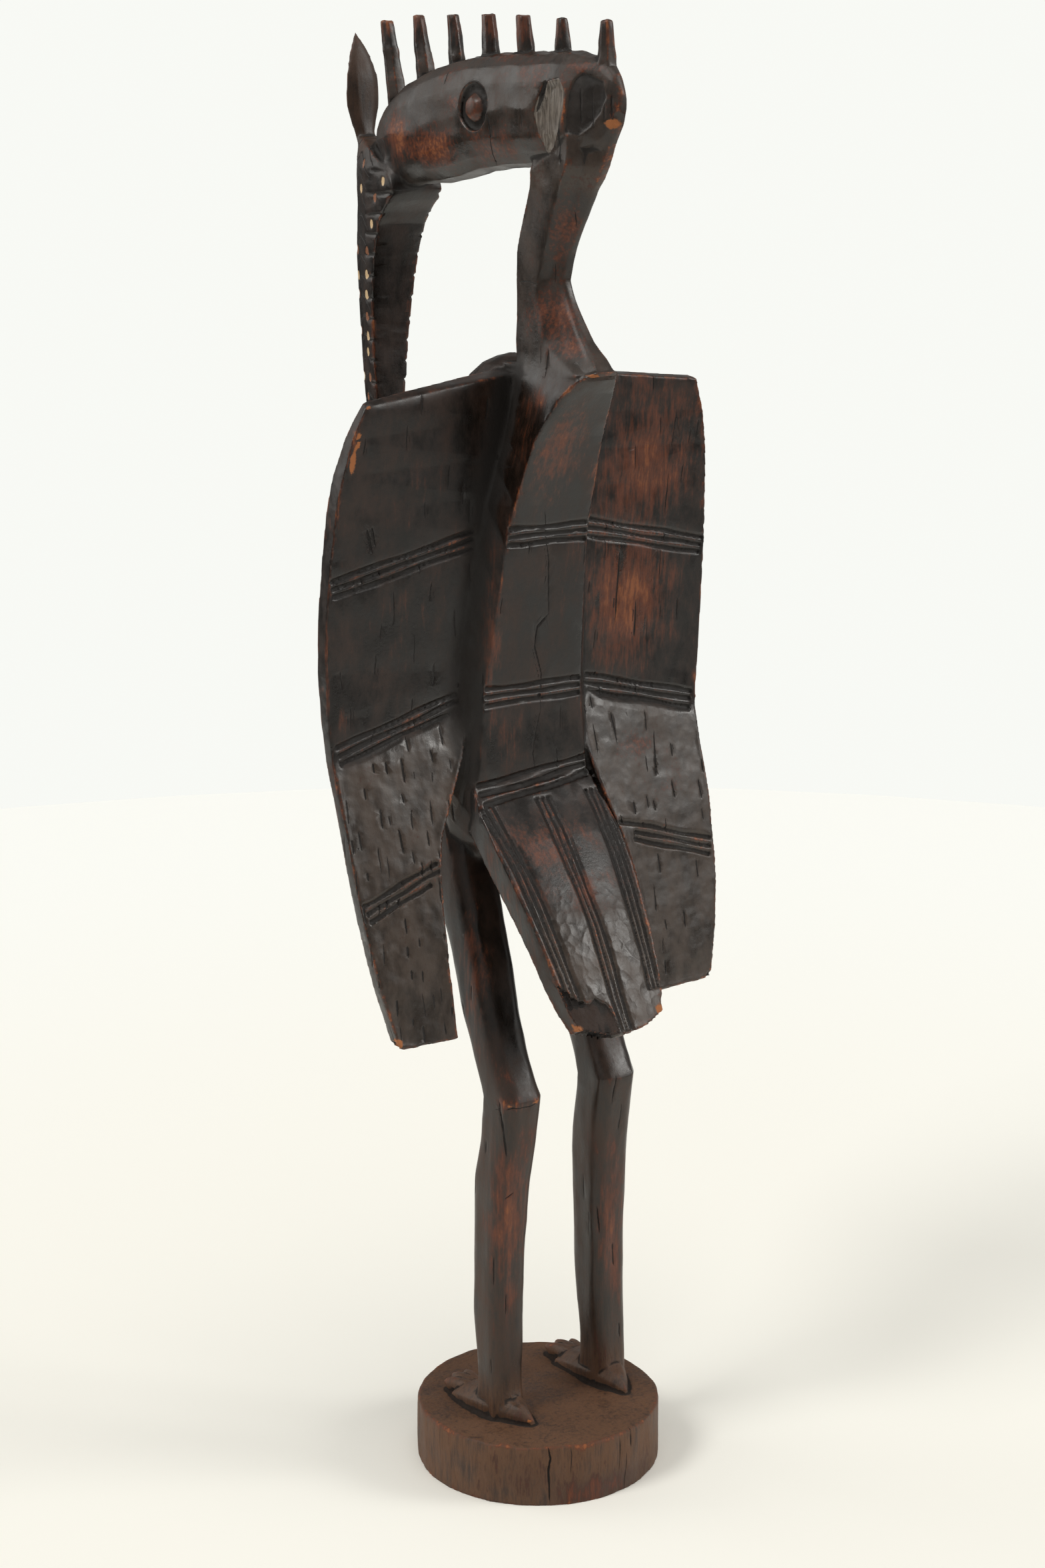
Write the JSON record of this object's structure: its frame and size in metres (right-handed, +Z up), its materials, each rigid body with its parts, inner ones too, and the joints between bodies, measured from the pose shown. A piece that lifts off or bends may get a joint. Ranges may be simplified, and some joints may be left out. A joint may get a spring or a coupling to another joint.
{
  "type": "carved wooden hornbill figure",
  "caption": "Tall standing hornbill carved from one block of dark wood, with spread wings, a crested head and a long beak resting on its belly, on a round plinth.",
  "frame": {"origin": "centre of the round plinth's underside", "axes": "+Z up; the bird looks along -Y and its left wing points along +X"},
  "size_m": [0.4792, 0.4757, 1.506],
  "materials": {
    "dark_wood": "very dark hardwood with a waxed, worn patina, red-brown where rubbed"
  },
  "bodies": {
    "root": {"carved_hornbill": "dark_wood"}
  },
  "joints": []
}
